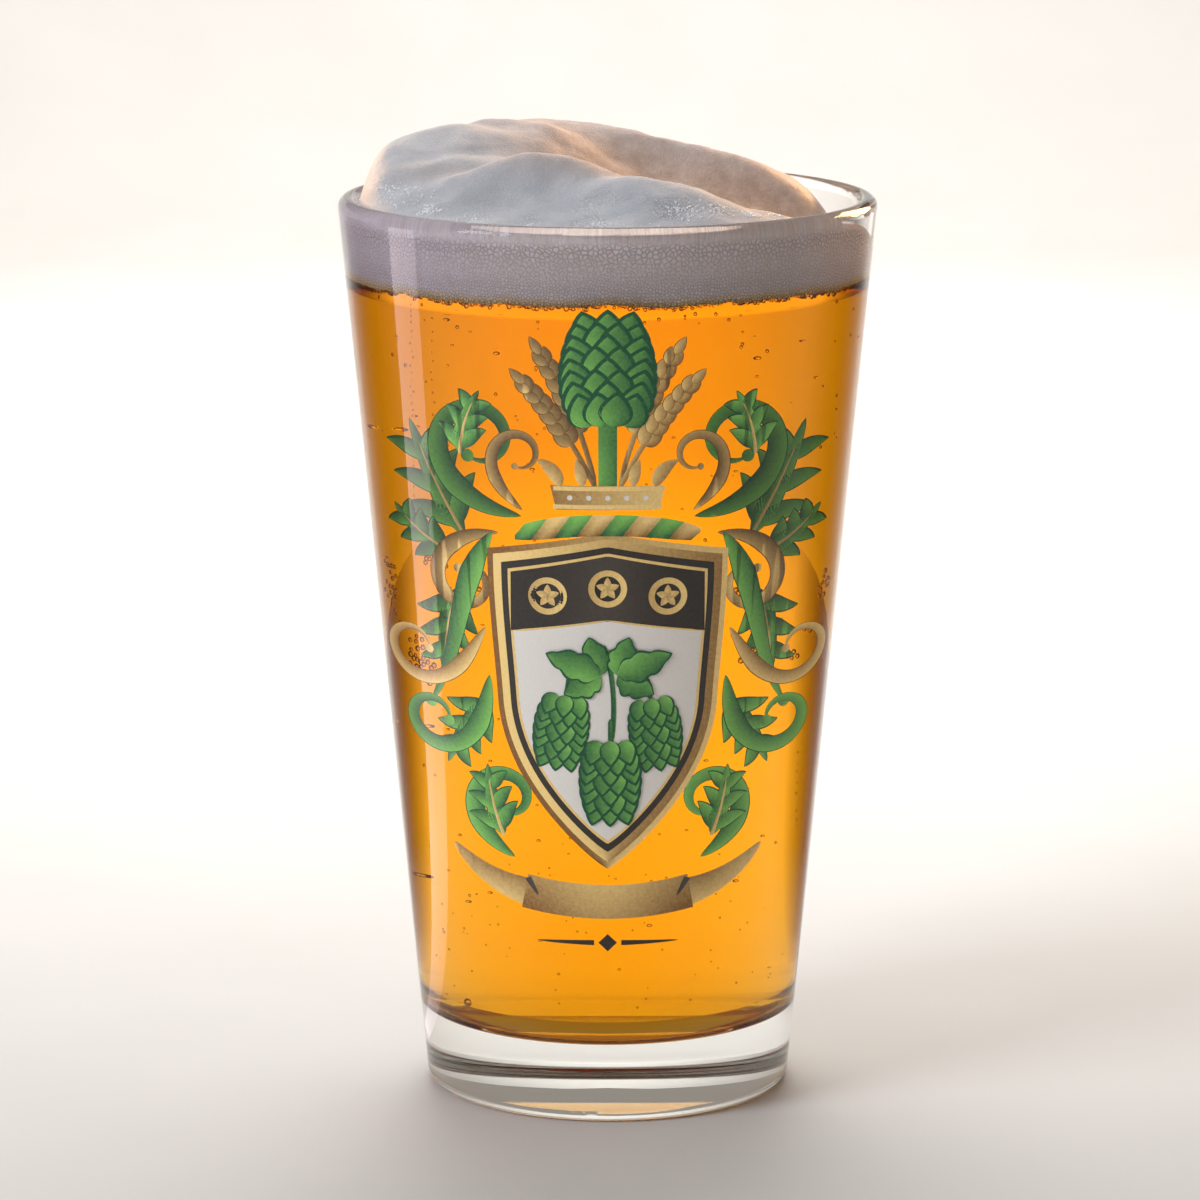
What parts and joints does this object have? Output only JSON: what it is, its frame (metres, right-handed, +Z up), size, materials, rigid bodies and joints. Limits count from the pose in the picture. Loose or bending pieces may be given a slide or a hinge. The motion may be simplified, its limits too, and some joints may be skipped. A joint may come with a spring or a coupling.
{
  "type": "pint glass of beer",
  "caption": "Conical glass filled with amber beer under a tall, swept head of foam that stands above the rim.",
  "frame": {"origin": "centre of the foot of the glass, on the table", "axes": "+Z up along the axis of the glass; the printed badge faces -Y; the foam has sunk on the +X side"},
  "size_m": [0.089, 0.0888, 0.1615],
  "materials": {
    "glass": "clear polished soda glass",
    "beer": "clear amber liquid",
    "foam": "fine creamy foam"
  },
  "bodies": {
    "root": {"glass": "glass", "beer": "beer", "foam_head": "foam"}
  },
  "joints": []
}
